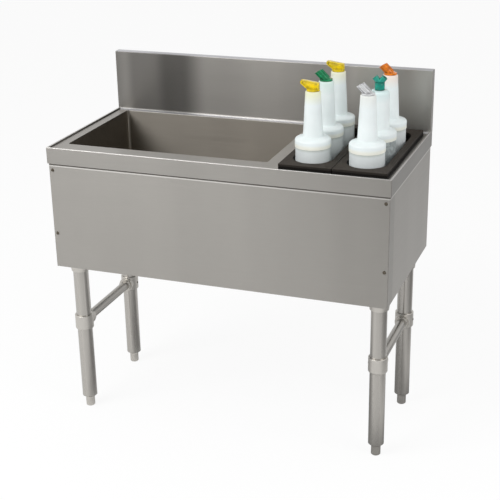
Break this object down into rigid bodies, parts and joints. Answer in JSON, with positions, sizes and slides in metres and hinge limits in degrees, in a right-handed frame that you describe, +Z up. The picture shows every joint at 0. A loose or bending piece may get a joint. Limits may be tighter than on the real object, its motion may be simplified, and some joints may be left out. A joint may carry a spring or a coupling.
{
  "type": "underbar ice chest",
  "caption": "Free-standing stainless underbar ice chest with an insulated basin, a backsplash, black drop-in bottle racks with pour bottles, and tube legs with side rails and adjustable feet.",
  "frame": {"origin": "on the floor, under the middle of the overall footprint", "axes": "+Z up, +X towards the bottle racks, the front faces -Y and the splash stands at +Y"},
  "size_m": [0.914, 0.448, 0.9843],
  "materials": {
    "stainless": "satin",
    "tube_steel": "satin",
    "cast_fitting": "matte",
    "galvanized": "matte",
    "screw_steel": "satin",
    "chromed_brass": "satin",
    "rubber": "matte",
    "foam": "matte",
    "black_plastic": "matte",
    "bottle_plastic": "satin",
    "yellow_spout": "gloss",
    "green_spout": "gloss",
    "orange_spout": "gloss",
    "teal_spout": "gloss",
    "clear_spout": "gloss"
  },
  "bodies": {
    "chest": {"rim_deck": "stainless", "backsplash": "stainless", "front_panel": "stainless", "left_side_panel": "stainless", "right_side_panel": "stainless", "rear_panel": "galvanized", "bottom_pan": "galvanized", "left_leg_channel": "galvanized", "right_leg_channel": "galvanized", "ice_liner": "stainless", "bottle_well_liner": "stainless", "insulation": "foam", "drain_body": "chromed_brass", "drain_gasket": "rubber", "drain_locknut": "chromed_brass", "front_panel_screws": "screw_steel", "rear_panel_screws": "screw_steel", "leg_socket_bolts": "screw_steel", "set_screws": "screw_steel", "foot_plugs": "cast_fitting", "left_side_rail": "tube_steel", "right_side_rail": "tube_steel", "leg_front_left": "tube_steel", "leg_socket_front_left": "cast_fitting", "rail_tee_front_left": "cast_fitting", "leg_front_right": "tube_steel", "leg_socket_front_right": "cast_fitting", "rail_tee_front_right": "cast_fitting", "leg_rear_left": "tube_steel", "leg_socket_rear_left": "cast_fitting", "rail_tee_rear_left": "cast_fitting", "leg_rear_right": "tube_steel", "leg_socket_rear_right": "cast_fitting", "rail_tee_rear_right": "cast_fitting"},
    "left_insert": {"left_bottle_insert": "black_plastic"},
    "right_insert": {"right_bottle_insert": "black_plastic"},
    "strainer": {"drain_strainer": "stainless"},
    "jar_left_front": {"jar_left_front": "bottle_plastic"},
    "top_left_front": {"neck_left_front": "bottle_plastic", "spout_left_front": "yellow_spout"},
    "jar_left_middle": {"jar_left_middle": "bottle_plastic"},
    "top_left_middle": {"neck_left_middle": "bottle_plastic", "spout_left_middle": "green_spout"},
    "jar_left_rear": {"jar_left_rear": "bottle_plastic"},
    "top_left_rear": {"neck_left_rear": "bottle_plastic", "spout_left_rear": "yellow_spout"},
    "jar_right_front": {"jar_right_front": "bottle_plastic"},
    "top_right_front": {"neck_right_front": "bottle_plastic", "spout_right_front": "clear_spout"},
    "jar_right_middle": {"jar_right_middle": "bottle_plastic"},
    "top_right_middle": {"neck_right_middle": "bottle_plastic", "spout_right_middle": "teal_spout"},
    "jar_right_rear": {"jar_right_rear": "bottle_plastic"},
    "top_right_rear": {"neck_right_rear": "bottle_plastic", "spout_right_rear": "orange_spout"},
    "foot_front_left": {"foot_front_left": "cast_fitting"},
    "foot_front_right": {"foot_front_right": "cast_fitting"},
    "foot_rear_left": {"foot_rear_left": "cast_fitting"},
    "foot_rear_right": {"foot_rear_right": "cast_fitting"}
  },
  "joints": [
    {"name": "strainer_lift", "type": "slide", "parent": "chest", "child": "strainer", "axis": [0, 0, 1], "range_m": [0, 0.32]},
    {"name": "left_insert_lift", "type": "slide", "parent": "chest", "child": "left_insert", "axis": [0, 0, 1], "range_m": [0, 0.13]},
    {"name": "right_insert_lift", "type": "slide", "parent": "chest", "child": "right_insert", "axis": [0, 0, 1], "range_m": [0, 0.13]},
    {"name": "jar_left_front_lift", "type": "slide", "parent": "left_insert", "child": "jar_left_front", "axis": [0, 0, 1], "range_m": [0, 0.14]},
    {"name": "top_left_front_off", "type": "slide", "parent": "jar_left_front", "child": "top_left_front", "axis": [0, 0, 1], "range_m": [0, 0.06]},
    {"name": "jar_left_middle_lift", "type": "slide", "parent": "left_insert", "child": "jar_left_middle", "axis": [0, 0, 1], "range_m": [0, 0.14]},
    {"name": "top_left_middle_off", "type": "slide", "parent": "jar_left_middle", "child": "top_left_middle", "axis": [0, 0, 1], "range_m": [0, 0.06]},
    {"name": "jar_left_rear_lift", "type": "slide", "parent": "left_insert", "child": "jar_left_rear", "axis": [0, 0, 1], "range_m": [0, 0.14]},
    {"name": "top_left_rear_off", "type": "slide", "parent": "jar_left_rear", "child": "top_left_rear", "axis": [0, 0, 1], "range_m": [0, 0.06]},
    {"name": "jar_right_front_lift", "type": "slide", "parent": "right_insert", "child": "jar_right_front", "axis": [0, 0, 1], "range_m": [0, 0.14]},
    {"name": "top_right_front_off", "type": "slide", "parent": "jar_right_front", "child": "top_right_front", "axis": [0, 0, 1], "range_m": [0, 0.06]},
    {"name": "jar_right_middle_lift", "type": "slide", "parent": "right_insert", "child": "jar_right_middle", "axis": [0, 0, 1], "range_m": [0, 0.14]},
    {"name": "top_right_middle_off", "type": "slide", "parent": "jar_right_middle", "child": "top_right_middle", "axis": [0, 0, 1], "range_m": [0, 0.06]},
    {"name": "jar_right_rear_lift", "type": "slide", "parent": "right_insert", "child": "jar_right_rear", "axis": [0, 0, 1], "range_m": [0, 0.14]},
    {"name": "top_right_rear_off", "type": "slide", "parent": "jar_right_rear", "child": "top_right_rear", "axis": [0, 0, 1], "range_m": [0, 0.06]},
    {"name": "foot_front_left_adjust", "type": "slide", "parent": "chest", "child": "foot_front_left", "axis": [0, 0, -1], "range_m": [0, 0.025]},
    {"name": "foot_front_right_adjust", "type": "slide", "parent": "chest", "child": "foot_front_right", "axis": [0, 0, -1], "range_m": [0, 0.025]},
    {"name": "foot_rear_left_adjust", "type": "slide", "parent": "chest", "child": "foot_rear_left", "axis": [0, 0, -1], "range_m": [0, 0.025]},
    {"name": "foot_rear_right_adjust", "type": "slide", "parent": "chest", "child": "foot_rear_right", "axis": [0, 0, -1], "range_m": [0, 0.025]}
  ]
}
